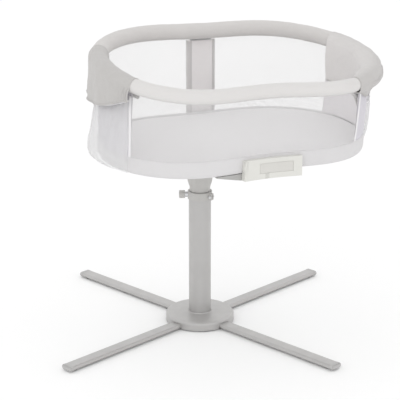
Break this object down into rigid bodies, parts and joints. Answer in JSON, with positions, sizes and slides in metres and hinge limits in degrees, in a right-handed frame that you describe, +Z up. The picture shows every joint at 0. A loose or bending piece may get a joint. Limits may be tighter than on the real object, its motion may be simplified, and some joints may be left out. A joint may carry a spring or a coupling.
{
  "type": "bassinet on stand",
  "caption": "Oval mesh-walled bassinet with padded rim on a swivelling, height-adjustable post with four flat legs.",
  "frame": {"origin": "on the post's axis at the floor, at the middle of the hub pad's underside", "axes": "+Z up along the post, +X along the bassinet's length to its right end seen from the front, +Y towards the back, where the upright stands over the post"},
  "size_m": [1.007, 1.007, 0.922],
  "materials": {
    "frame_silver": "satin warm silver powder coat with fine grain",
    "dark_steel": "dark grey painted steel",
    "bright_steel": "zinc plated steel",
    "rubber": "matt anti-slip rubber",
    "cap_plastic": "light grey moulded plastic",
    "grey_plastic": "grey moulded plastic with a fine texture",
    "white_plastic": "natural white acetal",
    "arm_plastic": "dark grey moulded plastic",
    "tab_plastic": "off-white moulded plastic with a fine texture",
    "tab_inlay": "light grey inlay, plain",
    "board_plastic": "light grey moulded plastic",
    "foam": "firm foam core in a plain cover",
    "sheet_fabric": "light grey-white cotton jersey sheet",
    "band_fabric": "off-white quilted polyester band",
    "rim_fabric": "warm light grey padded knit",
    "mesh": "sheer white polyester netting",
    "panel_fabric": "pale lilac-grey woven polyester",
    "wrap_fabric": "cream-grey padded knit with gathered elastic",
    "pocket_mesh": "sheer white netting with a bound edge",
    "upright_sleeve": "warm grey padded sleeve"
  },
  "bodies": {
    "stand": {"hub_shell": "frame_silver", "hub_plate": "dark_steel", "hub_pad": "rubber", "post_socket": "dark_steel", "socket_screws": "bright_steel", "leg_front_left": "frame_silver", "leg_front_right": "frame_silver", "leg_back_left": "frame_silver", "leg_back_right": "frame_silver", "leg_bolts": "bright_steel", "leg_end_caps": "cap_plastic", "foot_pads": "rubber", "lower_post": "frame_silver", "post_bush": "white_plastic", "height_collar": "grey_plastic", "collar_screw": "bright_steel", "pin_barrel": "bright_steel", "pin_spring": "bright_steel"},
    "pull_pin": {"height_pin": "bright_steel", "pin_knob": "grey_plastic"},
    "mast": {"upper_post": "frame_silver", "post_glide": "white_plastic", "swivel_housing": "grey_plastic", "swivel_bushes": "white_plastic", "thrust_washer": "white_plastic"},
    "bassinet": {"swivel_spindle": "bright_steel", "spindle_clip": "bright_steel", "swivel_head": "dark_steel", "head_screws": "bright_steel", "support_arm": "arm_plastic", "front_tab": "tab_plastic", "tab_plate": "tab_inlay", "back_upright": "dark_steel", "upright_cover": "upright_sleeve", "bottom_frame": "board_plastic", "floor_board": "board_plastic", "mattress": "foam", "fitted_sheet": "sheet_fabric", "lower_band": "band_fabric", "fixed_rim_tube": "bright_steel", "fixed_rim_pad": "rim_fabric", "back_mesh": "mesh", "front_mesh": "mesh", "end_panel_left": "panel_fabric", "end_panel_right": "panel_fabric", "wrap_left": "wrap_fabric", "wrap_right": "wrap_fabric", "pocket_left": "pocket_mesh", "pocket_right": "pocket_mesh", "end_stay_left": "bright_steel", "end_stay_right": "bright_steel", "pivot_pins": "bright_steel", "rail_springs": "bright_steel", "frame_screws": "bright_steel"},
    "front_rail": {"front_rail_tube": "bright_steel", "front_rail_pad": "rim_fabric", "rail_eyes": "bright_steel"}
  },
  "joints": [
    {"name": "pin_pull", "type": "slide", "parent": "stand", "child": "pull_pin", "axis": [-0.9298, 0.3681, 0], "range_m": [0, 0.008], "stiffness_N_per_m": 1500, "springref_m": -0.004, "deforming": ["pin_spring"]},
    {"name": "height_slide", "type": "slide", "parent": "stand", "child": "mast", "axis": [0, 0, 1], "range_m": [0, 0.2]},
    {"name": "swivel", "type": "hinge", "parent": "mast", "child": "bassinet", "pos_m": [0, 0, 0.56], "axis": [0, 0, 1], "continuous": true},
    {"name": "rail_drop", "type": "hinge", "parent": "bassinet", "child": "front_rail", "pos_m": [0.013, -0.232, 0.856], "axis": [0.9997, 0, -0.023], "range_deg": [0, 24], "stiffness_Nm_per_rad": 3, "springref_deg": -40.11, "deforming": ["front_mesh", "wrap_left", "wrap_right", "rail_springs"]}
  ]
}
